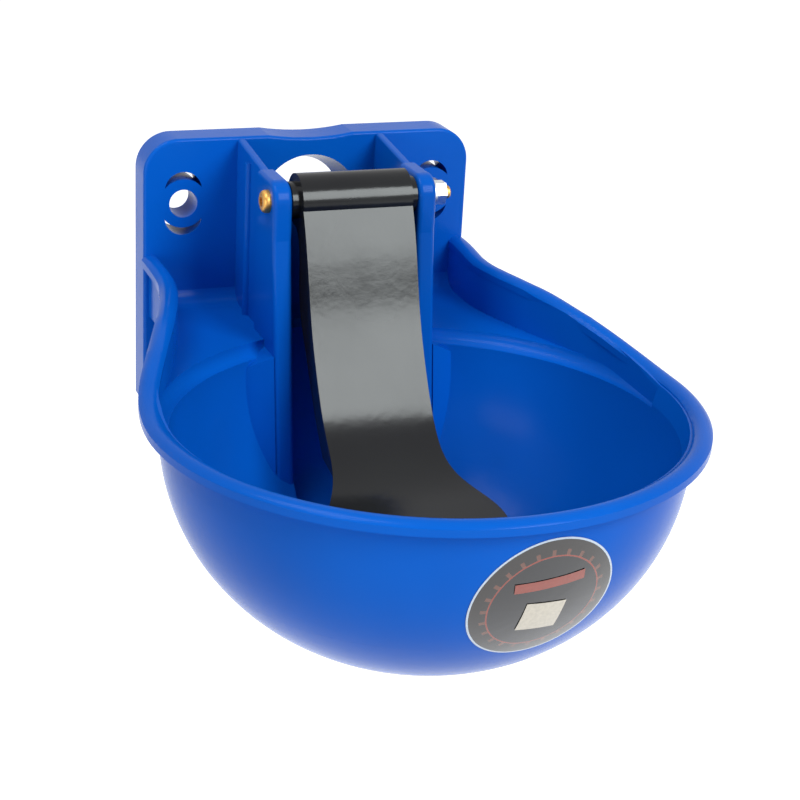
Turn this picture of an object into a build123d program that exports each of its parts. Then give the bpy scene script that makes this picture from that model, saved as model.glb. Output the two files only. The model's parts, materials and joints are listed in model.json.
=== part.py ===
"""Wall-hung livestock drinking bowl with a paddle that opens its water valve.

Frame: the origin is midway between the two wall bolts, on the wall plane.  +X is the
right as the user sees it, the bowl stands out along -Y and +Z is up.  Millimetres.
"""

import os
from math import atan2, cos, degrees, radians, sin, sqrt

from build123d import *

os.makedirs("parts", exist_ok=True)

# ------------------------------------------------------------------ fits
running_clearance = 0.05        # radial, a shaft in its hole
face_clearance = 0.3            # between moving and fixed faces

# ------------------------------------------------------------------ wall plate
bolt_spacing = 125.0            # between the two wall bolts
bolt_hole_radius = 6.75         # clears an M12 wall bolt
bolt_tube_radius = 11.7
window_half_width = 9.0         # upright window behind each bolt tube
window_half_height = 15.3
window_wall = 2.5
plate_width = 163.0
plate_top = 31.0                # above the wall bolts
plate_bottom = -99.5            # below the wall bolts
plate_depth = 16.7
plate_skin = 4.5                # front wall of the hollow plate
plate_skirt = 4.0               # its rim
plate_top_radius = 16.5
plate_bottom_radius = 7.0
plate_edge_radius = 1.5
dip_half_width = 21.0           # shallow dip in the top edge
dip_depth = 1.8
back_rib = 3.0
back_rib_drops = (0.0, 33.0, 66.0)
inlet_hole_radius = 25.0        # at the front, drawn in towards the wall
inlet_hole_back_radius = 20.0
inlet_tube_wall = 3.5

# ------------------------------------------------------------------ lip and collar
lip_width = 8.4
lip_thickness = 5.4
lip_crown = 2.2                 # rise of its rounded top
lip_sink = 0.5                  # the bowl's mouth ends this far inside the lip
lip_radius = 114.8              # round front of the lip, at its middle
lip_front_height = -45.4        # the lip's middle at the front
collar_rear_inset = -0.6        # outside of the collar, in from the lip's middle
collar_front_inset = 3.9
ledge_rear_inset = 3.8          # inside of the collar, in from the lip's middle
ledge_front_inset = 5.6

# Middle of the lip from the plate to the round front: half width, reach, height.
lip_rear = (
    (78.4, -plate_depth, -27.0),
    (78.2, -48.0, -29.2),
    (88.2, -86.0, -30.6),
    (101.2, -120.0, -35.8),
)

# ------------------------------------------------------------------ bowl
bowl_reach = -178.2             # middle of the round front
bowl_wall = 4.2
bowl_swell = 0.4                # the bowl stands out this much past the collar
waist_inset = 16.7              # the wall curves in by this much
waist_height = -108.0
bowl_bottom_height = -147.8     # edge of the flat middle, outside
bottom_radius = 40.0
bottom_sag = 2.4
ledge_top = -50.0
ledge_thickness = 4.5
ledge_rear_radius = 9.0         # between the plate and the ledge
ledge_rear_sink = 0.2           # keeps that rounding off a knife edge
crest_radius = 6.0              # where the ledge rolls over into the bowl
crest_reach = 112.5             # from the bowl's middle to the start of that roll

# ------------------------------------------------------------------ channel and hinge blocks
channel_half_width = 32.5
channel_wall = 4.0
channel_top_rear = 30.2
channel_top_front = 25.2
channel_edge_radius = 1.2
bead_reach = -37.0              # upright bead on the outside of each channel wall
bead_width = 4.4
bead_height = 2.2
block_inner = 30.0
block_outer = 38.8
block_rear = -57.0
block_top = 26.0
block_front = -83.4
block_corner_radius = 9.0
block_edge_radius = 2.2
block_line = ((-83.4, 0.0), (-89.0, -48.0), (-98.5, -120.0), (-112.0, -135.0))
groove_line = ((-60.0, -52.0), (-75.0, -118.0), (-110.0, -138.0))
groove_bend_radius = 14.0
groove_corner_radius = 5.0
groove_mouth = (-130.0, -44.0)
gusset_height = -96.5           # lowest point of the gussets, at the plate
flank_width = 22.0              # slope from each ridge out to the bowl's wall
flank_slope = 28.0

# ------------------------------------------------------------------ hinge
hinge_reach = -74.2
hinge_height = 16.2
hinge_bolt_radius = 3.0
hinge_head_radius = 5.2
hinge_head_height = 3.4
hinge_key_across = 4.0
hinge_key_depth = 2.0
hinge_bolt_run = 2.8            # bolt left over outside the nut
washer_radius = 6.2
washer_thickness = 1.6
nut_across = 10.0
nut_height = 5.0
sleeve_radius = 5.0

# ------------------------------------------------------------------ paddle
paddle_half_width = 26.0
paddle_skin = 3.6
paddle_flange = 3.0
paddle_edge_radius = 2.2
barrel_radius = 12.0
hub_radius = 8.4
toe_reach = -180.0
toe_radius = 40.0
toe_neck = -131.0               # where the paddle starts to widen
toe_edge_radius = 1.2
pad_radius = 6.0

# Side view of the paddle's front face, from the barrel down to the tip of the toe.
paddle_line = (
    (-86.0, 14.0),
    (-94.5, -8.0),
    (-104.6, -39.0),
    (-116.0, -61.0),
    (-129.0, -79.0),
    (-141.0, -89.0),
    (-155.0, -94.2),
    (-180.0, -99.4),
    (-222.0, -107.4),
)
# Side view of the rear edge of its flanges, from the barrel down.
flange_line = (
    (-70.0, 6.0),
    (-77.5, 3.0),
    (-84.2, -27.9),
    (-95.0, -48.5),
    (-109.8, -71.6),
    (-124.0, -89.0),
)

# ------------------------------------------------------------------ valve
valve_height = -4.0
bridge_front = -48.0            # wall across the channel that carries the valve
bridge_thickness = 4.0
bridge_top = 13.0
thread_radius = 10.48           # G 1/2 pipe thread
inlet_end = -9.0
inlet_thread = 25.0             # length for the pipe, up to the relief
relief_width = 2.0
relief_radius = 9.7
inlet_bore = 7.6
flange_across = 27.0
flange_thickness = 4.0
gasket_radius = 14.0
gasket_thickness = 1.5
lock_washer_thickness = 1.5
lock_nut_thickness = 6.0
spout_radius = 9.6              # front barrel of the valve
spout_end = -62.5
seat_bore = 4.6
seat_thickness = 2.5
seat_lip = 0.8
chamber_radius = 6.6
outlet_radius = 2.4
gland_across = 17.0
gland_head = 3.5
gland_shank = 2.5
stem_radius = 2.5
stem_end = -74.5
poppet_radius = 6.0
poppet_thickness = 2.0
poppet_washer_thickness = 2.0
guide_radius = 1.8
guide_length = 12.0
oring_section = 0.9
cap_radius = 5.6
cap_length = 5.0
cap_skin = 1.6
cap_dome = 8.0                  # radius of the cap's domed end
spring_wire = 0.9               # square wire
spring_radius = 4.2
spring_turns = 5.0
spring_length = 16.0
retainer_thickness = 2.0
retainer_bore = 2.6
retainer_ports = 6
retainer_port_radius = 1.1
clip_thickness = 1.0
clip_depth = 0.7
strainer_radius = 7.2
strainer_length = 10.0
strainer_skin = 0.8
strainer_slots = 8
strainer_slot_width = 1.2
flow_screw_radius = 2.5
flow_screw_head = 3.0
flow_screw_head_height = 2.5
flow_screw_slot = 1.0

# ------------------------------------------------------------------ derived places
plate_front = -plate_depth
collar_outer = lip_radius - collar_front_inset
ledge_bottom = ledge_top - ledge_thickness
hinge_point = (hinge_reach, hinge_height)
bolt_length = 2 * block_outer + washer_thickness + nut_height + hinge_bolt_run
bridge_rear = bridge_front + bridge_thickness
flange_rear = bridge_front - gasket_thickness
flange_front = flange_rear - flange_thickness
seat_rear = flange_rear
seat_front = seat_rear - seat_thickness
seat_face = seat_rear + seat_lip
poppet_washer_rear = seat_face + poppet_washer_thickness
poppet_rear = poppet_washer_rear + poppet_thickness
spring_front = poppet_rear
spring_rear = spring_front + spring_length
retainer_rear = spring_rear + retainer_thickness
clip_rear = retainer_rear + clip_thickness
lock_washer_rear = bridge_rear + lock_washer_thickness
lock_nut_rear = lock_washer_rear + lock_nut_thickness
gland_rear = spout_end + gland_shank
port_reach = flange_front - flow_screw_head - face_clearance
pad_face = stem_end - face_clearance
hub_half_width = block_inner - face_clearance


# ------------------------------------------------------------------ shared shapes
def lip_middle(side):
    """Points along the middle of the rear lip on one side, -1 left or 1 right."""
    rear = [(side * x, y, z) for x, y, z in lip_rear]
    return rear + [(side * lip_radius, bowl_reach, lip_front_height)]


def rim_outline(rear_inset, front_inset, rounded):
    """Plan of the lip's middle moved inwards, with a round or a straight front."""
    right = []
    for x, y, z in lip_middle(1):
        share = ((y - plate_front) / (bowl_reach - plate_front)) ** 2
        right.append((x - rear_inset - (front_inset - rear_inset) * share, y))
    left = [(-x, y) for x, y in right]
    forwards = [(0, -1), (0, -1)]
    with BuildLine() as outline:
        Spline(*right, tangents=forwards)
        Spline(*left, tangents=forwards)
        if rounded:
            round_front = (0, bowl_reach - lip_radius + front_inset)
            ThreePointArc(right[-1], round_front, left[-1])
        else:
            Line(right[-1], left[-1])
        Line(left[0], right[0])
    make_face(outline.edges())


def side_face(points):
    """Closed side view through (reach, height) points; into the sketch."""
    with BuildLine() as outline:
        Polyline(*points, close=True)
    make_face(outline.edges())


def valve_plane(reach):
    """Plane across the valve's axis at a reach; extruding from it goes to the front."""
    return Plane(origin=(0, reach, valve_height), x_dir=(1, 0, 0), z_dir=(0, -1, 0))


def valve_ring(rear, front, radius, bore):
    """Ring or rod about the valve's axis, into the part."""
    with BuildSketch(valve_plane(rear)) as section:
        Circle(radius)
        if bore > 0:
            Circle(bore, mode=Mode.SUBTRACT)
    extrude(section.sketch, amount=rear - front)


def hinge_plane(side):
    """Plane across the hinge's axis; extruding from it goes to the right."""
    return Plane(origin=(side, hinge_reach, hinge_height), x_dir=(0, 1, 0), z_dir=(1, 0, 0))


# ------------------------------------------------------------------ forms of the bowl
def plate_form():
    """Wall plate, solid, with rounded corners and a shallow dip in its top edge."""
    half = plate_width / 2
    with BuildPart() as plate:
        with BuildSketch(Plane.XZ) as face:
            with BuildLine():
                Polyline((-dip_half_width, plate_top), (-half, plate_top),
                         (-half, plate_bottom), (half, plate_bottom),
                         (half, plate_top), (dip_half_width, plate_top))
                ThreePointArc((dip_half_width, plate_top), (0, plate_top - dip_depth),
                              (-dip_half_width, plate_top))
            make_face()
            corners = face.vertices().filter_by(lambda v: abs(v.X) > dip_half_width + 1)
            fillet(corners.filter_by(lambda v: v.Y > 0), radius=plate_top_radius)
            fillet(corners.filter_by(lambda v: v.Y < 0), radius=plate_bottom_radius)
        extrude(amount=plate_depth)
        front = plate.faces().sort_by(Axis.Y)[0]
        fillet(front.edges(), radius=plate_edge_radius)
    return plate.part


def plate_pockets():
    """Hollows in the back of the plate, between its ribs and tubes."""
    inner = plate_width - 2 * plate_skirt
    rib_middle = channel_half_width + channel_wall / 2
    with BuildPart() as pockets:
        with BuildSketch(Plane.XZ) as back:
            with Locations((0, (plate_top + plate_bottom) / 2)):
                Rectangle(inner, plate_top - plate_bottom - 2 * plate_skirt)
            corners = back.vertices()
            top_corners = corners.filter_by(lambda v: v.Y > 0)
            fillet(top_corners, radius=plate_top_radius - plate_skirt)
            with Locations((0, plate_top - plate_skirt)):
                Rectangle(2 * dip_half_width, 2 * dip_depth, mode=Mode.SUBTRACT)
            with Locations(*[(0, -drop) for drop in back_rib_drops]):
                Rectangle(inner, back_rib, mode=Mode.SUBTRACT)
            with Locations((-rib_middle, 0), (rib_middle, 0)):
                Rectangle(channel_wall, 2 * (plate_top - plate_bottom), mode=Mode.SUBTRACT)
            with Locations((-bolt_spacing / 2, 0), (bolt_spacing / 2, 0)):
                Circle(bolt_tube_radius, mode=Mode.SUBTRACT)
                SlotOverall(2 * (window_half_height + window_wall),
                            2 * (window_half_width + window_wall), rotation=90,
                            mode=Mode.SUBTRACT)
            with Locations((0, valve_height)):
                Circle(inlet_hole_radius + inlet_tube_wall, mode=Mode.SUBTRACT)
        extrude(amount=plate_depth - plate_skin)
    return pockets.part


def plate_openings():
    """Wall bolt holes, the windows behind their tubes and the inlet hole."""
    with BuildPart() as openings:
        with BuildSketch(Plane.XZ):
            with Locations((-bolt_spacing / 2, 0), (bolt_spacing / 2, 0)):
                SlotOverall(2 * window_half_height, 2 * window_half_width, rotation=90)
                Circle(bolt_tube_radius, mode=Mode.SUBTRACT)
                Circle(bolt_hole_radius)
        extrude(amount=plate_depth + 1)
        narrowing = degrees(atan2(inlet_hole_radius - inlet_hole_back_radius, plate_depth))
        with BuildSketch(valve_plane(0)):
            Circle(inlet_hole_back_radius)
        extrude(amount=plate_depth, taper=-narrowing)
    return openings.part


def collar_form():
    """Solid under the lip, from the underside of the ledge up to the lip's middle."""
    rear_line = [(y, z) for x, y, z in lip_middle(1)]
    with BuildPart() as collar:
        with BuildSketch(Plane.XY.offset(ledge_bottom)):
            rim_outline(collar_rear_inset, collar_front_inset, True)
        extrude(amount=plate_top - ledge_bottom)
        with BuildSketch(Plane.YZ):
            with BuildLine():
                Spline(*rear_line)
                Polyline(rear_line[-1], (bowl_reach - 2 * lip_radius, lip_front_height),
                         (bowl_reach - 2 * lip_radius, ledge_bottom),
                         (rear_line[0][0], ledge_bottom), rear_line[0])
            make_face()
        extrude(amount=2 * lip_radius, both=True, mode=Mode.INTERSECT)
    return collar.part


def bowl_form(wall, mouth_radius, mouth_height):
    """Bowl as a solid, its skin moved in by a wall, its mouth a radius at a height."""
    radius = collar_outer + bowl_swell - wall
    with BuildPart() as form:
        with BuildSketch(Plane.XZ.offset(-bowl_reach)):
            with BuildLine():
                Polyline((0, mouth_height), (mouth_radius, mouth_height), (radius, ledge_bottom))
                side = TangentArc((radius, ledge_bottom),
                                  (radius - waist_inset, waist_height), tangent=(0, -1))
                bottom = TangentArc(side @ 1, (bottom_radius, bowl_bottom_height + wall),
                                    tangent=side % 1)
                Polyline(bottom @ 1, (0, bowl_bottom_height + wall - bottom_sag),
                         (0, mouth_height))
            make_face()
        revolve(axis=Axis((0, bowl_reach, 0), (0, 0, 1)))
    return form.part


def crest_form():
    """Air that rolls the ledge's edge over into the bowl."""
    edge = crest_reach - crest_radius
    with BuildPart() as ring:
        with BuildSketch(Plane.XZ.offset(-bowl_reach)):
            with BuildLine():
                Polyline((edge, ledge_top - crest_radius), (0, ledge_top - crest_radius),
                         (0, ledge_top), (crest_reach, ledge_top))
                RadiusArc((crest_reach, ledge_top), (edge, ledge_top - crest_radius),
                          crest_radius)
            make_face()
        revolve(axis=Axis((0, bowl_reach, 0), (0, 0, 1)))
        with BuildSketch(Plane((0, ledge_rear_sink, ledge_top - crest_radius))):
            rim_outline(ledge_rear_inset, ledge_front_inset, False)
        extrude(amount=crest_radius, mode=Mode.INTERSECT)
    return ring.part


def ledge_air_form():
    """Air over the ledge, rounded where the ledge meets the plate."""
    with BuildPart() as air:
        with BuildSketch(Plane((0, ledge_rear_sink, ledge_top))):
            rim_outline(ledge_rear_inset, ledge_front_inset, False)
        extrude(amount=plate_top - ledge_top)
        rear_edge = air.faces().sort_by(Axis.Z)[0].edges().sort_by(Axis.Y)[-1]
        fillet(rear_edge, radius=ledge_rear_radius)
    return air.part


def channel_wall_form():
    """Right wall of the channel with its bead and the gusset under the ledge."""
    outer = channel_half_width + channel_wall
    inside = block_rear - 1
    with BuildPart() as wall:
        with BuildSketch(Plane.YZ.offset(channel_half_width)):
            side_face([(plate_front, channel_top_rear), (inside, channel_top_front),
                       (inside, ledge_bottom), (groove_line[1][0], groove_line[1][1] - bowl_wall),
                       (plate_front, gusset_height)])
        extrude(amount=channel_wall)
        top = wall.faces().sort_by(Axis.Z)[-1]
        fillet(top.edges().filter_by(Axis.X, reverse=True), radius=channel_edge_radius)
        with BuildSketch(Plane.XY.offset(ledge_bottom)):
            with Locations((outer, bead_reach)):
                Ellipse(bead_height, bead_width / 2)
        extrude(amount=channel_top_front - channel_edge_radius - ledge_bottom)
    return wall.part


def groove_shell_line():
    """Outside of the groove's wall, from the ledge down to the bottom of the bowl."""
    top, bend, end = groove_line
    return [(top[0] + bowl_wall, ledge_bottom), (bend[0] + bowl_wall, bend[1] - bowl_wall / 2),
            (end[0] + bowl_wall / 2, end[1] - bowl_wall)]


def block_form():
    """Right hinge block with the ridge that carries it down into the bowl."""
    with BuildPart() as block:
        with BuildSketch(Plane.YZ.offset(block_inner)) as side:
            side_face([(block_rear, block_top), (block_front, block_top), *block_line,
                       *reversed(groove_shell_line()), (block_rear, ledge_top)])
            crown = side.vertices().filter_by(lambda v: v.Y > block_top - 1).sort_by(Axis.X)
            fillet(crown[0], radius=block_corner_radius)
        extrude(amount=block_outer - block_inner)
        rims = block.edges().filter_by(Axis.X, reverse=True)
        rims = rims.filter_by(lambda e: e.center().Z > groove_line[1][1])
        fillet(rims.filter_by(lambda e: e.center().Y < block_rear - 1
                              and e.center().Z > block_line[2][1]),
               radius=block_edge_radius)
    return block.part


def groove_form(grown):
    """Groove between the ridges: its air, or its air grown by the shell's wall."""
    top, bend, end = groove_line
    with BuildPart() as groove:
        with BuildSketch(Plane.YZ) as side:
            if grown:
                side_face([*groove_shell_line(), (groove_mouth[0], end[1] - bowl_wall),
                           (groove_mouth[0], ledge_bottom)])
            else:
                side_face([(top[0], groove_mouth[1]), top, bend, end,
                           (groove_mouth[0], end[1]), groove_mouth])
                bends = side.vertices().sort_by(Axis.X)
                fillet([v for v in bends if abs(v.Y - bend[1]) < 1],
                       radius=groove_bend_radius)
        extrude(amount=block_inner, both=True)
    return groove.part


def channel_zone(inner, outer):
    """Block of space from one side plane to another, from the plate to the channel's end."""
    with BuildPart() as zone:
        with BuildSketch(Plane.YZ.offset(inner)):
            side_face([(plate_front + 1, plate_top), (groove_mouth[0], plate_top),
                       (groove_mouth[0], 2 * bowl_bottom_height),
                       (plate_front + 1, 2 * bowl_bottom_height)])
        extrude(amount=outer - inner)
    return zone.part


def level_zone(bottom, top):
    """Block of space between two levels, wider than the bowl."""
    with BuildPart() as zone:
        with BuildSketch(Plane.XY.offset(bottom)):
            with Locations((0, bowl_reach)):
                Rectangle(4 * lip_radius, 4 * lip_radius)
        extrude(amount=top - bottom)
    return zone.part


def flank_form():
    """Slope from the right ridge out to the bowl's wall."""
    ridge = [(block_line[1][0], ledge_top - crest_radius / 2), *block_line[2:]]
    with BuildPart() as flank:
        with BuildSketch(Plane.YZ.offset(block_outer)):
            side_face([*ridge, (plate_front, ridge[-1][1]), (plate_front, ridge[0][1])])
        extrude(amount=flank_width, taper=flank_slope)
        add(bowl_solid, mode=Mode.INTERSECT)
    return flank.part


def lip_form():
    """Bead along the rim, flat below and rounded on top."""
    half = lip_width / 2
    crown_foot = lip_thickness / 2 - lip_crown
    eighth = lip_radius / sqrt(2)
    left_side = lip_middle(-1)
    with BuildPart() as lip:
        with BuildLine() as path:
            ThreePointArc((0, bowl_reach - lip_radius, lip_front_height),
                          (-eighth, bowl_reach - eighth, lip_front_height), left_side[-1])
            Spline(*reversed(left_side), tangents=[(0, 1, 0), (0, 1, 0)])
        with BuildSketch(Plane(origin=path.line @ 0, x_dir=(0, -1, 0), z_dir=(-1, 0, 0))):
            with BuildLine():
                Polyline((-half, crown_foot), (-half, -lip_thickness / 2),
                         (half, -lip_thickness / 2), (half, crown_foot))
                ThreePointArc((half, crown_foot), (0, lip_thickness / 2), (-half, crown_foot))
            make_face()
        sweep()
        mirror(about=Plane.YZ)
    return lip.part


# ------------------------------------------------------------------ bowl moulding
collar_solid = collar_form()
bowl_solid = bowl_form(0, collar_outer + bowl_swell, lip_front_height)
bowl_air = bowl_form(bowl_wall, lip_radius - lip_width / 2 + lip_sink,
                     lip_front_height + lip_thickness)
crest_air = crest_form()
ledge_air = ledge_air_form()
right_wall = channel_wall_form()
right_block = block_form()
groove_shell = groove_form(True)
groove_air = groove_form(False)
right_flank = flank_form()

# Bowl, collar and ledge in one; the nodes below are its shares.
with BuildPart() as shell:
    add(collar_solid)
    add(bowl_solid)
    add(bowl_air, mode=Mode.SUBTRACT)
    add(ledge_air, mode=Mode.SUBTRACT)
    add(crest_air, mode=Mode.SUBTRACT)

with BuildPart() as open_shell:
    add(shell.part)
    add(right_flank)
    add(right_flank.mirror(Plane.YZ))
    add(channel_zone(-block_outer, block_outer), mode=Mode.SUBTRACT)

with BuildPart() as wall_plate:
    add(plate_form())
    add(plate_pockets(), mode=Mode.SUBTRACT)
    add(plate_openings(), mode=Mode.SUBTRACT)
wall_plate.part.label = "wall_plate"
export_step(wall_plate.part, "parts/wall_plate.step")

with BuildPart() as bowl_rim:
    add(open_shell.part)
    add(level_zone(ledge_bottom, plate_top), mode=Mode.INTERSECT)
    add(lip_form())
bowl_rim.part.label = "bowl_rim"
export_step(bowl_rim.part, "parts/bowl_rim.step")

with BuildPart() as bowl_side:
    add(open_shell.part)
    add(level_zone(waist_height, ledge_bottom), mode=Mode.INTERSECT)
bowl_side.part.label = "bowl_side"
export_step(bowl_side.part, "parts/bowl_side.step")

with BuildPart() as bowl_bottom:
    add(open_shell.part)
    add(level_zone(2 * bowl_bottom_height, waist_height), mode=Mode.INTERSECT)
bowl_bottom.part.label = "bowl_bottom"
export_step(bowl_bottom.part, "parts/bowl_bottom.step")

# Floor of the channel, the wall across it with the valve's hole, and the groove.
with BuildPart() as channel_floor:
    add(shell.part)
    add(channel_zone(-block_inner, block_inner), mode=Mode.INTERSECT)
    add(groove_shell)
    add(groove_air, mode=Mode.SUBTRACT)
    with BuildSketch(valve_plane(bridge_rear)):
        with Locations((0, (ledge_bottom + bridge_top) / 2 - valve_height)):
            Rectangle(2 * block_inner, bridge_top - ledge_bottom)
        Circle(thread_radius + running_clearance, mode=Mode.SUBTRACT)
    extrude(amount=bridge_thickness)
channel_floor.part.label = "channel_floor"
export_step(channel_floor.part, "parts/channel_floor.step")

# Right cheek: wall, hinge block, ridge and its end of the wall across the channel.
with BuildPart() as cheek_right:
    add(shell.part)
    add(channel_zone(block_inner, block_outer), mode=Mode.INTERSECT)
    add(right_wall)
    add(right_block)
    with BuildSketch(Plane.YZ.offset(block_inner)):
        side_face([(bridge_rear, ledge_top), (bridge_front, ledge_top),
                   (bridge_front, bridge_top), (bridge_rear, bridge_top)])
    extrude(amount=channel_half_width - block_inner)
    with BuildSketch(hinge_plane(block_inner)):
        Circle(hinge_bolt_radius + running_clearance)
    extrude(amount=block_outer - block_inner, mode=Mode.SUBTRACT)
cheek_right.part.label = "cheek_right"
export_step(cheek_right.part, "parts/cheek_right.step")

with BuildPart() as cheek_left:
    add(cheek_right.part.mirror(Plane.YZ))
cheek_left.part.label = "cheek_left"
export_step(cheek_left.part, "parts/cheek_left.step")


# ------------------------------------------------------------------ paddle
def paddle_plan():
    """Plan of the paddle: a straight blade that widens into the round toe."""
    half = paddle_half_width
    joint = radians(20)
    right_joint = (toe_radius * cos(joint), toe_reach + toe_radius * sin(joint))
    with BuildLine() as outline:
        Line((half, 0), (half, toe_neck))
        Spline((half, toe_neck), right_joint,
               tangents=[(0, -1), (sin(joint), -cos(joint))])
        ThreePointArc(right_joint, (0, toe_reach - toe_radius),
                      (-right_joint[0], right_joint[1]))
        Spline((-right_joint[0], right_joint[1]), (-half, toe_neck),
               tangents=[(sin(joint), cos(joint)), (0, 1)])
        Polyline((-half, toe_neck), (-half, 0), (half, 0))
    make_face(outline.edges())


def paddle_curve(depth):
    """Points of the paddle's front line, moved into its skin by a depth."""
    line = Spline(*[(0, y, z) for y, z in paddle_line], mode=Mode.PRIVATE)
    steps = len(paddle_line) - 1
    points = []
    for step in range(steps + 1):
        place = line @ (step / steps)
        along = line % (step / steps)
        points.append((place.Y - depth * along.Z, place.Z + depth * along.Y))
    return points


def paddle_skin_form():
    """Front skin of the paddle and its toe, cut to the plan's outline."""
    front_points = paddle_curve(0)
    back_points = paddle_curve(paddle_skin)
    with BuildPart() as skin:
        with BuildSketch(Plane.YZ):
            with BuildLine():
                Spline(*front_points)
                Line(front_points[-1], back_points[-1])
                Spline(*back_points)
                Line(back_points[0], front_points[0])
            make_face()
        extrude(amount=toe_radius + 1, both=True)
        with BuildSketch(Plane.XY.offset(paddle_line[-1][1] - 2 * paddle_skin)):
            paddle_plan()
        extrude(amount=2 * (paddle_line[0][1] - paddle_line[-1][1]), mode=Mode.INTERSECT)
        sides = skin.faces().sort_by(SortBy.AREA)[-2:]
        front = sides.sort_by(lambda f: f.center().Z - f.center().Y)[-1]
        outline = front.edges().filter_by(lambda e: e.center().Z < paddle_line[0][1] - 1)
        fillet(outline, radius=paddle_edge_radius)
    return skin.part


def flange_form():
    """Right side flange behind the blade."""
    inside = paddle_curve(paddle_skin / 2)[:-3]
    with BuildPart() as flange:
        with BuildSketch(Plane.YZ.offset(paddle_half_width - paddle_flange)):
            with BuildLine():
                Spline(*inside)
                Line(inside[-1], flange_line[-1])
                Spline(*flange_line)
                Line(flange_line[0], inside[0])
            make_face()
        extrude(amount=paddle_flange)
    return flange.part


def pad_form():
    """Pad behind the blade that pushes the valve."""
    middle = paddle_curve(paddle_skin / 2)
    with BuildPart() as pad:
        with BuildSketch(valve_plane(pad_face)):
            Circle(pad_radius)
        extrude(amount=pad_face - middle[3][0])
        with BuildSketch(Plane.YZ):
            with BuildLine():
                Spline(*middle[:4])
                Polyline(middle[3], (hinge_reach, middle[3][1]), (hinge_reach, middle[0][1]),
                         middle[0])
            make_face()
        extrude(amount=pad_radius, both=True, mode=Mode.INTERSECT)
    return pad.part


paddle_skin_solid = paddle_skin_form()
right_flange = flange_form()

with BuildPart() as paddle:
    add(paddle_skin_solid)
    add(right_flange)
    add(right_flange.mirror(Plane.YZ))
    # Barrel with a hub at each end.
    with BuildSketch(hinge_plane(-paddle_half_width)):
        Circle(barrel_radius)
    extrude(amount=2 * paddle_half_width)
    with BuildSketch(hinge_plane(-hub_half_width)):
        Circle(hub_radius)
    extrude(amount=2 * hub_half_width)
    add(pad_form())
    with BuildSketch(hinge_plane(-hub_half_width)):
        Circle(sleeve_radius + running_clearance)
    extrude(amount=2 * hub_half_width, mode=Mode.SUBTRACT)
paddle.part.label = "paddle"
export_step(paddle.part, "parts/paddle.step")

# ------------------------------------------------------------------ hinge
with BuildPart() as hinge_sleeve:
    with BuildSketch(hinge_plane(-hub_half_width)):
        Circle(sleeve_radius)
        Circle(hinge_bolt_radius + running_clearance, mode=Mode.SUBTRACT)
    extrude(amount=2 * hub_half_width)
hinge_sleeve.part.label = "hinge_sleeve"
export_step(hinge_sleeve.part, "parts/hinge_sleeve.step")

with BuildPart() as hinge_bolt:
    with BuildSketch(hinge_plane(-block_outer - hinge_head_height)):
        Circle(hinge_head_radius)
    extrude(amount=hinge_head_height)
    crown = hinge_bolt.faces().sort_by(Axis.X)[0].edges()
    fillet(crown, radius=hinge_head_height * 0.6)
    with BuildSketch(hinge_plane(-block_outer)):
        Circle(hinge_bolt_radius)
    extrude(amount=bolt_length)
    chamfer(hinge_bolt.faces().sort_by(Axis.X)[-1].edges(), length=hinge_bolt_radius / 5)
    with BuildSketch(hinge_plane(-block_outer - hinge_head_height)):
        RegularPolygon(hinge_key_across / 2, 6, major_radius=False)
    extrude(amount=hinge_key_depth, mode=Mode.SUBTRACT)
hinge_bolt.part.label = "hinge_bolt"
export_step(hinge_bolt.part, "parts/hinge_bolt.step")

with BuildPart() as hinge_washer:
    with BuildSketch(hinge_plane(block_outer)):
        Circle(washer_radius)
        Circle(hinge_bolt_radius + running_clearance, mode=Mode.SUBTRACT)
    extrude(amount=washer_thickness)
hinge_washer.part.label = "hinge_washer"
export_step(hinge_washer.part, "parts/hinge_washer.step")


def hexagon(plane, across, height, bore):
    """Hexagon with a bore, standing on a plane; into the part."""
    with BuildSketch(plane) as section:
        RegularPolygon(across / 2, 6, major_radius=False)
        if bore > 0:
            Circle(bore, mode=Mode.SUBTRACT)
    extrude(section.sketch, amount=height)


with BuildPart() as hinge_nut:
    hexagon(hinge_plane(block_outer + washer_thickness), nut_across, nut_height,
            hinge_bolt_radius + running_clearance)
hinge_nut.part.label = "hinge_nut"
export_step(hinge_nut.part, "parts/hinge_nut.step")

# ------------------------------------------------------------------ valve, fixed pieces
with BuildPart() as valve_body:
    valve_ring(inlet_end, flange_rear, thread_radius, 0)
    hexagon(valve_plane(flange_rear), flange_across, flange_thickness, 0)
    valve_ring(flange_front, spout_end, spout_radius, 0)
    with BuildSketch(valve_plane(inlet_end)):
        Circle(inlet_bore)
    extrude(amount=inlet_end - seat_rear, mode=Mode.SUBTRACT)
    # Raised seat round the water way.
    valve_ring(seat_face, seat_rear, seat_bore + seat_lip, 0)
    with BuildSketch(valve_plane(seat_face)):
        Circle(seat_bore)
    extrude(amount=seat_face - seat_front, mode=Mode.SUBTRACT)
    with BuildSketch(valve_plane(seat_front)):
        Circle(chamber_radius)
    extrude(amount=seat_front - spout_end, mode=Mode.SUBTRACT)
    # Outlet underneath and the flow screw's hole on top.
    with BuildSketch(Plane.XY.offset(valve_height)):
        with Locations((0, port_reach)):
            Circle(outlet_radius)
    extrude(amount=-2 * spout_radius, mode=Mode.SUBTRACT)
    with BuildSketch(Plane.XY.offset(valve_height)):
        with Locations((0, port_reach)):
            Circle(flow_screw_radius + running_clearance)
    extrude(amount=2 * spout_radius, mode=Mode.SUBTRACT)
    # Relief where the pipe's thread ends.
    with BuildSketch(valve_plane(inlet_end - inlet_thread)):
        Circle(thread_radius)
        Circle(relief_radius, mode=Mode.SUBTRACT)
    extrude(amount=relief_width, mode=Mode.SUBTRACT)
    # Groove for the ring that keeps the spring's retainer in.
    with BuildSketch(valve_plane(clip_rear)):
        Circle(inlet_bore + clip_depth)
    extrude(amount=clip_thickness, mode=Mode.SUBTRACT)
valve_body.part.label = "valve_body"
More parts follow.
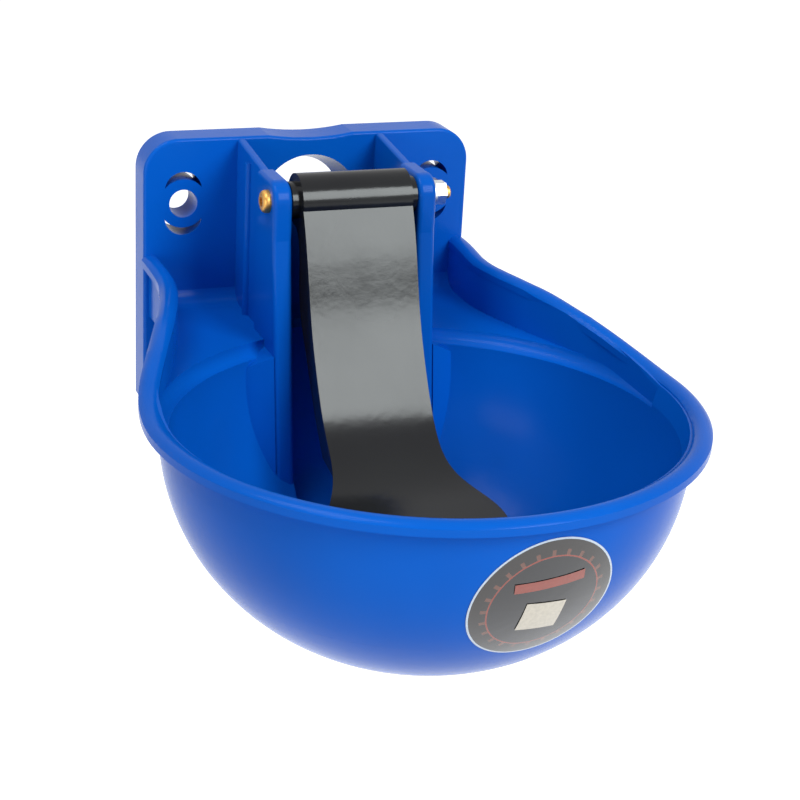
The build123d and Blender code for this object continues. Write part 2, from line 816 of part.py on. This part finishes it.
export_step(valve_body.part, "parts/valve_body.step")

with BuildPart() as valve_gasket:
    valve_ring(bridge_front, flange_rear, gasket_radius, thread_radius + running_clearance)
valve_gasket.part.label = "valve_gasket"
export_step(valve_gasket.part, "parts/valve_gasket.step")

with BuildPart() as lock_washer:
    valve_ring(lock_washer_rear, bridge_rear, gasket_radius, thread_radius + running_clearance)
lock_washer.part.label = "lock_washer"
export_step(lock_washer.part, "parts/lock_washer.step")

with BuildPart() as lock_nut:
    hexagon(valve_plane(lock_nut_rear), flange_across, lock_nut_thickness,
            thread_radius + running_clearance)
lock_nut.part.label = "lock_nut"
export_step(lock_nut.part, "parts/lock_nut.step")

with BuildPart() as gland_nut:
    hexagon(valve_plane(spout_end), gland_across, gland_head, stem_radius + running_clearance)
    valve_ring(gland_rear, spout_end, chamber_radius - running_clearance,
               stem_radius + running_clearance)
    with BuildSketch(valve_plane(gland_rear)):
        Circle(stem_radius + 2 * oring_section)
    extrude(amount=2 * oring_section, mode=Mode.SUBTRACT)
gland_nut.part.label = "gland_nut"
export_step(gland_nut.part, "parts/gland_nut.step")

with BuildPart() as stem_oring:
    with BuildSketch(Plane.YZ) as section:
        with Locations((gland_rear - oring_section,
                        valve_height + stem_radius + oring_section + running_clearance)):
            RegularPolygon(oring_section - running_clearance, 8)
    revolve(axis=Axis((0, 0, valve_height), (0, 1, 0)))
stem_oring.part.label = "stem_oring"
export_step(stem_oring.part, "parts/stem_oring.step")

with BuildPart() as spring_retainer:
    valve_ring(retainer_rear, spring_rear, inlet_bore - running_clearance, retainer_bore)
    with BuildSketch(valve_plane(retainer_rear)):
        with PolarLocations((retainer_bore + inlet_bore) / 2, retainer_ports):
            Circle(retainer_port_radius)
    extrude(amount=retainer_thickness, mode=Mode.SUBTRACT)
spring_retainer.part.label = "spring_retainer"
export_step(spring_retainer.part, "parts/spring_retainer.step")

with BuildPart() as retainer_clip:
    valve_ring(clip_rear, retainer_rear, inlet_bore + clip_depth - running_clearance,
               inlet_bore - clip_depth)
retainer_clip.part.label = "retainer_clip"
export_step(retainer_clip.part, "parts/retainer_clip.step")

with BuildPart() as inlet_strainer:
    strainer_rear = clip_rear + strainer_length
    valve_ring(strainer_rear, clip_rear, strainer_radius, 0)
    with BuildSketch(valve_plane(strainer_rear)):
        Circle(strainer_radius - strainer_skin)
    extrude(amount=strainer_length - strainer_skin, mode=Mode.SUBTRACT)
    with BuildSketch(valve_plane(clip_rear + strainer_skin)):
        Circle(strainer_radius / 2)
        Rectangle(strainer_radius, strainer_slot_width, mode=Mode.SUBTRACT)
        Rectangle(strainer_slot_width, strainer_radius, mode=Mode.SUBTRACT)
    extrude(amount=strainer_skin, mode=Mode.SUBTRACT)
    with BuildSketch(valve_plane(clip_rear + strainer_length - 2 * strainer_skin)):
        with PolarLocations(strainer_radius, strainer_slots):
            Rectangle(2 * strainer_slot_width, strainer_slot_width)
    extrude(amount=strainer_length - 4 * strainer_skin, mode=Mode.SUBTRACT)
inlet_strainer.part.label = "inlet_strainer"
export_step(inlet_strainer.part, "parts/inlet_strainer.step")

with BuildPart() as flow_screw:
    with BuildSketch(Plane.XY.offset(valve_height + chamber_radius)):
        with Locations((0, port_reach)):
            Circle(flow_screw_radius)
    extrude(amount=spout_radius - chamber_radius)
    with BuildSketch(Plane.XY.offset(valve_height + spout_radius)):
        with Locations((0, port_reach)):
            Circle(flow_screw_head)
    extrude(amount=flow_screw_head_height)
    with BuildSketch(Plane.XY.offset(valve_height + spout_radius + flow_screw_head_height)):
        with Locations((0, port_reach)):
            Rectangle(2 * flow_screw_head, flow_screw_slot)
    extrude(amount=-flow_screw_slot, mode=Mode.SUBTRACT)
flow_screw.part.label = "flow_screw"
export_step(flow_screw.part, "parts/flow_screw.step")

# ------------------------------------------------------------------ valve, moving pieces
with BuildPart() as valve_stem:
    valve_ring(poppet_rear, poppet_washer_rear, poppet_radius, 0)
    valve_ring(poppet_rear + guide_length, poppet_rear, guide_radius, 0)
    valve_ring(poppet_washer_rear, stem_end + cap_skin, stem_radius, 0)
valve_stem.part.label = "valve_stem"
export_step(valve_stem.part, "parts/valve_stem.step")

with BuildPart() as valve_washer:
    valve_ring(poppet_washer_rear, seat_face, poppet_radius, stem_radius)
valve_washer.part.label = "valve_washer"
export_step(valve_washer.part, "parts/valve_washer.step")

with BuildPart() as stem_cap:
    dome_rise = cap_dome - sqrt(cap_dome ** 2 - cap_radius ** 2)
    with BuildSketch(Plane.YZ) as section:
        with BuildLine():
            Polyline((stem_end, valve_height), (stem_end + cap_length, valve_height),
                     (stem_end + cap_length, valve_height + cap_radius),
                     (stem_end + dome_rise, valve_height + cap_radius))
            RadiusArc((stem_end + dome_rise, valve_height + cap_radius),
                      (stem_end, valve_height), -cap_dome)
        make_face()
    revolve(axis=Axis((0, 0, valve_height), (0, 1, 0)))
    with BuildSketch(valve_plane(stem_end + cap_length)):
        Circle(stem_radius)
    extrude(amount=cap_length - cap_skin, mode=Mode.SUBTRACT)
stem_cap.part.label = "stem_cap"
export_step(stem_cap.part, "parts/stem_cap.step")

with BuildPart() as return_spring:
    spring_rise = spring_length - spring_wire
    with BuildLine() as coil:
        Helix(pitch=spring_rise / spring_turns, height=spring_rise, radius=spring_radius,
              center=(0, spring_front + spring_wire / 2, valve_height), direction=(0, 1, 0))
    with BuildSketch(Plane(origin=coil.line @ 0, z_dir=coil.line % 0)):
        Rectangle(spring_wire, spring_wire)
    sweep(is_frenet=True)
return_spring.part.label = "return_spring"
export_step(return_spring.part, "parts/return_spring.step")
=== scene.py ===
"""Looks of the wall-hung livestock drinking bowl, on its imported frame.  Metres."""

import json
from math import cos, pi, radians, sin

import bmesh
import bpy
from mathutils import Matrix, Vector
from mathutils.bvhtree import BVHTree


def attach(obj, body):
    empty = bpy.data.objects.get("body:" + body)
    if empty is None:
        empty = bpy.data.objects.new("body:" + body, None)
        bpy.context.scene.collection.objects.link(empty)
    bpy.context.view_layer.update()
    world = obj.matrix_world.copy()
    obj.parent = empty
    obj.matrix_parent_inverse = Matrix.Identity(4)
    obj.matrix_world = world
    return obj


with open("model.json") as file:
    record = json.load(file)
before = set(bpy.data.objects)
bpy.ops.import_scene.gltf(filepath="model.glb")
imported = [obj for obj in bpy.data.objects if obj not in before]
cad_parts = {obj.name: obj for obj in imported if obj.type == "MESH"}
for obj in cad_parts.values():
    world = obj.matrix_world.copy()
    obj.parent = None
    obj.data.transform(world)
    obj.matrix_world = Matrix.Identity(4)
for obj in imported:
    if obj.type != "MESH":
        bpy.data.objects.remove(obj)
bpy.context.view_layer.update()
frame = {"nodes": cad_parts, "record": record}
nodes = frame["nodes"]
scene = bpy.context.scene

# ------------------------------------------------------------------ view
CAMERA_PLACE = Vector((-0.28508, -0.85926, 0.25186))
CAMERA_AZIMUTH = radians(-21.844)
CAMERA_ELEVATION = radians(21.765)
CAMERA_ROLL = radians(3.113)
CAMERA_LENS = 85.67             # mm
CAMERA_SENSOR = 36              # mm
CAMERA_CLIP_END = 50

# ------------------------------------------------------------------ stage and lamps
FLOOR_HEIGHT = -0.42
FLOOR_SIZE = 14.0
FLOOR_COLOUR = (0.86, 0.86, 0.87, 1)
FLOOR_GLOW = 0.75
WORLD_COLOUR = (0.93, 0.96, 1.0, 1)
WORLD_LEVEL = 0.32
LAMP_TARGET = Vector((0, -0.13, -0.05))
# Each lamp: name, place, width, height, power in watts, colour.
LAMPS = (
    ("key_box", Vector((0.62, -1.45, 0.82)), 0.66, 0.98, 21, (0.94, 1.0, 1.0)),
    ("top_box", Vector((-0.7, -0.2, 1.5)), 1.0, 0.8, 12, (1, 1, 1)),
    ("left_box", Vector((-1.5, -0.9, 0.1)), 0.8, 1.0, 7, (1, 1, 1)),
)

# ------------------------------------------------------------------ sticker
STICKER_MIDDLE = Vector((0.009, -0.282, -0.085))
STICKER_LIFT = 0.00025         # of the print over the bowl
PATCH_LIFT = 2 * STICKER_LIFT
CAST_START = 0.03               # of the rays that find the bowl
RING_STEPS = 96
RING_BANDS = 3
MARK_SPACING = 4
# Print of each ring, from the middle out, and the ring's outer radius.
STICKER_RINGS = (
    ("disc", 0.0232),
    ("red", 0.0238),
    ("marked_ring", 0.0262),
    ("dark_ring", 0.0302),
    ("pale_edge", 0.0310),
)
# Blank patches on the disc: print, half width, half height, offset right, offset up, turn.
STICKER_PATCHES = (
    ("red", 0.0150, 0.0022, 0.0, 0.0115, radians(4)),
    ("cream", 0.0088, 0.0075, 0.0, -0.0058, radians(-5)),
)
PATCH_STEPS = 8
# Material and colour of each print, in the order of the sticker's material slots.
STICKER_PRINTS = {
    "disc": ("print_dark", (0.012, 0.010, 0.012)),
    "red": ("print_red", (0.30, 0.05, 0.03)),
    "cream": ("print_cream", (0.62, 0.55, 0.45)),
    "dark_ring": ("print_black", (0.02, 0.014, 0.012)),
    "pale_edge": ("film_edge", (0.55, 0.62, 0.72)),
    "mark": ("print_mark", (0.16, 0.06, 0.04)),
}


# ------------------------------------------------------------------ shader helpers
def new_material(name):
    """Material with an empty node tree, its output and a Principled shader."""
    material = bpy.data.materials.new(name)
    material.use_nodes = True
    tree = material.node_tree
    tree.nodes.clear()
    output = tree.nodes.new("ShaderNodeOutputMaterial")
    shader = tree.nodes.new("ShaderNodeBsdfPrincipled")
    tree.links.new(shader.outputs["BSDF"], output.inputs["Surface"])
    return material, tree, shader


def noise(tree, scale, detail, distortion=0.0):
    """Noise over the object's own coordinates."""
    place = tree.nodes.new("ShaderNodeTexCoord")
    texture = tree.nodes.new("ShaderNodeTexNoise")
    texture.inputs["Scale"].default_value = scale
    texture.inputs["Detail"].default_value = detail
    texture.inputs["Distortion"].default_value = distortion
    tree.links.new(place.outputs["Object"], texture.inputs["Vector"])
    return texture.outputs["Fac"]


def spread(tree, value, low, high, start=0.0, end=1.0):
    """Maps a value between two results."""
    node = tree.nodes.new("ShaderNodeMapRange")
    node.inputs["From Min"].default_value = start
    node.inputs["From Max"].default_value = end
    node.inputs["To Min"].default_value = low
    node.inputs["To Max"].default_value = high
    tree.links.new(value, node.inputs["Value"])
    return node.outputs["Result"]


def set_colour(tree, shader, factor, first, second):
    """Base colour that goes from the first to the second with a factor."""
    node = tree.nodes.new("ShaderNodeMix")
    node.data_type = "RGBA"
    node.inputs["A"].default_value = (*first, 1)
    node.inputs["B"].default_value = (*second, 1)
    tree.links.new(factor, node.inputs["Factor"])
    tree.links.new(node.outputs["Result"], shader.inputs["Base Color"])


def bump(tree, shader, height, strength, distance):
    """Bumps the shader's normal by a height."""
    node = tree.nodes.new("ShaderNodeBump")
    node.inputs["Strength"].default_value = strength
    node.inputs["Distance"].default_value = distance
    tree.links.new(height, node.inputs["Height"])
    tree.links.new(node.outputs["Normal"], shader.inputs["Normal"])


def set_gloss(tree, shader, scale, detail, low, high):
    """Roughness that varies over the surface between two values."""
    gloss = spread(tree, noise(tree, scale, detail), low, high)
    tree.links.new(gloss, shader.inputs["Roughness"])


def times(colour, factor):
    """Colour made brighter or darker."""
    return [channel * factor for channel in colour]


# ------------------------------------------------------------------ materials
def moulded_plastic(name, colour, shade, roughness, specular, peel):
    """Glossy moulded plastic: faint flow marks, a slightly uneven gloss and orange peel."""
    material, tree, shader = new_material(name)
    flow = spread(tree, noise(tree, scale=9, detail=2, distortion=0.6),
                  low=0, high=1, start=0.35, end=0.65)
    set_colour(tree, shader, flow, colour, shade)
    set_gloss(tree, shader, scale=55, detail=4, low=roughness * 0.8, high=roughness * 1.35)
    shader.inputs["Specular IOR Level"].default_value = specular
    bump(tree, shader, noise(tree, scale=260, detail=2), strength=peel, distance=0.0004)
    return material


def plated_metal(name, colour, shade, roughness):
    """Plated or turned metal with fine stains."""
    material, tree, shader = new_material(name)
    stains = spread(tree, noise(tree, scale=420, detail=5), low=0, high=1, start=0.35, end=0.7)
    set_colour(tree, shader, stains, colour, shade)
    set_gloss(tree, shader, scale=900, detail=3, low=roughness * 0.7, high=roughness * 1.4)
    shader.inputs["Metallic"].default_value = 1.0
    bump(tree, shader, noise(tree, scale=1400, detail=3), strength=0.15, distance=0.0001)
    return material


def soft_rubber(name, colour):
    """Matt rubber with a fine grain."""
    material, tree, shader = new_material(name)
    grain = noise(tree, scale=800, detail=3)
    set_colour(tree, shader, grain, colour, times(colour, 1.6))
    shader.inputs["Roughness"].default_value = 0.7
    bump(tree, shader, grain, strength=0.2, distance=0.0002)
    return material


def printed(name, colour):
    """Print under a clear film."""
    material, tree, shader = new_material(name)
    grain = spread(tree, noise(tree, scale=700, detail=3), low=0, high=1, start=0.3, end=0.7)
    set_colour(tree, shader, grain, colour, times(colour, 0.85))
    shader.inputs["Roughness"].default_value = 0.22
    shader.inputs["Coat Weight"].default_value = 0.5
    shader.inputs["Coat Roughness"].default_value = 0.08
    return material


# Material of each of the record's slots.
FINISH = {
    "bowl_plastic": moulded_plastic(
        "blue_plastic", colour=(0.001, 0.108, 0.55), shade=(0.001, 0.094, 0.49),
        roughness=0.20, specular=0.08, peel=0.10),
    "paddle_plastic": moulded_plastic(
        "black_plastic", colour=(0.006, 0.006, 0.008), shade=(0.010, 0.011, 0.012),
        roughness=0.17, specular=0.34, peel=0.12),
    "strainer_plastic": moulded_plastic(
        "white_acetal", colour=(0.72, 0.72, 0.68), shade=(0.66, 0.66, 0.62),
        roughness=0.35, specular=0.5, peel=0.1),
    "zinc_yellow": plated_metal(
        "yellow_zinc", colour=(0.82, 0.46, 0.13), shade=(0.56, 0.30, 0.08), roughness=0.40),
    "zinc_white": plated_metal(
        "white_zinc", colour=(0.90, 0.92, 0.91), shade=(0.70, 0.72, 0.72), roughness=0.36),
    "steel": plated_metal(
        "stainless_steel", colour=(0.66, 0.66, 0.67), shade=(0.50, 0.50, 0.52), roughness=0.26),
    "brass": plated_metal(
        "brass", colour=(0.78, 0.56, 0.24), shade=(0.62, 0.42, 0.16), roughness=0.30),
    "rubber": soft_rubber("black_rubber", colour=(0.02, 0.02, 0.02)),
}


def dress_nodes():
    """Gives each CAD node the material of its slot."""
    for part in frame["record"]["subparts"]:
        mesh = nodes[part["node"]].data
        mesh.materials.clear()
        mesh.materials.append(FINISH[part["material_slot"]])


# ------------------------------------------------------------------ sticker
def bowl_skin():
    """Search tree over the bowl's side and bottom."""
    corners = []
    faces = []
    for name in ("bowl_side", "bowl_bottom"):
        mesh = nodes[name].data
        first = len(corners)
        corners += [v.co for v in mesh.vertices]
        faces += [[first + number for number in p.vertices] for p in mesh.polygons]
    return BVHTree.FromPolygons(corners, faces)


def ring_bands():
    """Print and radius of each band of faces, from the middle out."""
    bands = []
    inner = 0.0
    for name, radius in STICKER_RINGS:
        for band in range(1, RING_BANDS + 1):
            bands.append((name, inner + (radius - inner) * band / RING_BANDS))
        inner = radius
    return bands


def make_sticker():
    """Round blank sticker that follows the outside of the bowl."""
    skin = bowl_skin()
    centre, normal, _, _ = skin.find_nearest(STICKER_MIDDLE)
    outward = normal.normalized()
    right = Vector((0, 0, 1)).cross(outward).normalized()
    up = outward.cross(right)
    form = bmesh.new()
    prints = list(STICKER_PRINTS)

    def on_skin(across, rise, lift):
        start = centre + right * across + up * rise + outward * CAST_START
        hit, _, _, _ = skin.ray_cast(start, -outward)
        return form.verts.new(hit + outward * lift)

    def add_face(corners, name):
        face = form.faces.new(corners)
        face.material_index = prints.index(name)
        face.smooth = True

    middle = on_skin(0, 0, STICKER_LIFT)
    bands = ring_bands()
    turns = [2 * pi * step / RING_STEPS for step in range(RING_STEPS)]
    rows = [[on_skin(radius * cos(turn), radius * sin(turn), STICKER_LIFT) for turn in turns]
            for _, radius in bands]
    for step in range(RING_STEPS):
        add_face((middle, rows[0][step], rows[0][(step + 1) % RING_STEPS]), "disc")
    for (name, _), inner, outer in zip(bands[1:], rows, rows[1:]):
        for step in range(RING_STEPS):
            after = (step + 1) % RING_STEPS
            if name == "marked_ring":
                ink = "mark" if step % MARK_SPACING == 0 else "dark_ring"
            else:
                ink = name
            add_face((inner[step], outer[step], outer[after], inner[after]), ink)

    for name, half_width, half_height, across, rise, turn in STICKER_PATCHES:
        grid = []
        for row in range(PATCH_STEPS + 1):
            v = half_height * (2 * row / PATCH_STEPS - 1)
            line = []
            for column in range(PATCH_STEPS + 1):
                u = half_width * (2 * column / PATCH_STEPS - 1)
                line.append(on_skin(across + u * cos(turn) - v * sin(turn),
                                    rise + u * sin(turn) + v * cos(turn), PATCH_LIFT))
            grid.append(line)
        for low, high in zip(grid, grid[1:]):
            for column in range(PATCH_STEPS):
                after = column + 1
                add_face((low[column], low[after], high[after], high[column]), name)

    mesh = bpy.data.meshes.new("sticker")
    form.to_mesh(mesh)
    form.free()
    for name, colour in STICKER_PRINTS.values():
        mesh.materials.append(printed(name, colour))
    sticker = bpy.data.objects.new("sticker", mesh)
    scene.collection.objects.link(sticker)
    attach(sticker, "bowl")


# ------------------------------------------------------------------ camera, floor and light
def add_camera():
    """Camera at the photograph's place, turn and lens."""
    a, e, r = CAMERA_AZIMUTH, CAMERA_ELEVATION, CAMERA_ROLL
    back = Vector((sin(a) * cos(e), -cos(a) * cos(e), sin(e)))
    level = Vector((cos(a), sin(a), 0))
    rise = back.cross(level)
    right = level * cos(r) + rise * sin(r)
    up = rise * cos(r) - level * sin(r)
    data = bpy.data.cameras.new("camera")
    data.lens = CAMERA_LENS
    data.sensor_width = CAMERA_SENSOR
    data.clip_end = CAMERA_CLIP_END
    camera = bpy.data.objects.new("camera", data)
    turn = Matrix((right, up, back)).transposed().to_4x4()
    camera.matrix_world = Matrix.Translation(CAMERA_PLACE) @ turn
    scene.collection.objects.link(camera)
    scene.camera = camera


def add_lamp(name, place, width, height, power, colour):
    """Soft box that shines on the bowl."""
    data = bpy.data.lights.new(name, "AREA")
    data.shape = "RECTANGLE"
    data.size = width
    data.size_y = height
    data.energy = power
    data.color = colour
    lamp = bpy.data.objects.new(name, data)
    lamp.location = place
    lamp.rotation_euler = (LAMP_TARGET - place).to_track_quat("-Z", "Y").to_euler()
    scene.collection.objects.link(lamp)


def seen_or_lit(tree, lit, seen, output):
    """Shows one shader to camera, glossy and transmission rays and lights with another."""
    path = tree.nodes.new("ShaderNodeLightPath")
    share = path.outputs["Is Camera Ray"]
    for name in ("Is Glossy Ray", "Is Transmission Ray"):
        either = tree.nodes.new("ShaderNodeMath")
        either.operation = "MAXIMUM"
        tree.links.new(share, either.inputs[0])
        tree.links.new(path.outputs[name], either.inputs[1])
        share = either.outputs[0]
    mixer = tree.nodes.new("ShaderNodeMixShader")
    tree.links.new(share, mixer.inputs["Fac"])
    tree.links.new(lit.outputs[0], mixer.inputs[1])
    tree.links.new(seen.outputs[0], mixer.inputs[2])
    tree.links.new(mixer.outputs[0], output.inputs["Surface"])


def add_floor():
    """Pale floor that keeps the shadow and looks white."""
    mesh = bpy.data.meshes.new("floor")
    half = FLOOR_SIZE / 2
    corners = [(-half, -half, 0), (half, -half, 0), (half, half, 0), (-half, half, 0)]
    mesh.from_pydata(corners, [], [(0, 1, 2, 3)])
    floor = bpy.data.objects.new("floor", mesh)
    floor.location.z = FLOOR_HEIGHT
    scene.collection.objects.link(floor)
    material = bpy.data.materials.new("pale_floor")
    material.use_nodes = True
    tree = material.node_tree
    tree.nodes.clear()
    output = tree.nodes.new("ShaderNodeOutputMaterial")
    paper = tree.nodes.new("ShaderNodeBsdfDiffuse")
    paper.inputs["Color"].default_value = FLOOR_COLOUR
    glow = tree.nodes.new("ShaderNodeEmission")
    glow.inputs["Strength"].default_value = FLOOR_GLOW
    bright = tree.nodes.new("ShaderNodeAddShader")
    tree.links.new(paper.outputs[0], bright.inputs[0])
    tree.links.new(glow.outputs[0], bright.inputs[1])
    seen_or_lit(tree, paper, bright, output)
    mesh.materials.append(material)


def add_world():
    """Soft light all round, with a pale background."""
    world = bpy.data.worlds.new("studio")
    world.use_nodes = True
    scene.world = world
    tree = world.node_tree
    tree.nodes.clear()
    output = tree.nodes.new("ShaderNodeOutputWorld")
    sky = tree.nodes.new("ShaderNodeBackground")
    sky.inputs["Color"].default_value = WORLD_COLOUR
    sky.inputs["Strength"].default_value = WORLD_LEVEL
    pale = tree.nodes.new("ShaderNodeBackground")
    pale.inputs["Strength"].default_value = 1.0
    seen_or_lit(tree, sky, pale, output)


dress_nodes()
make_sticker()
add_camera()
add_floor()
add_world()
for lamp in LAMPS:
    add_lamp(*lamp)

scene.view_settings.view_transform = "Standard"
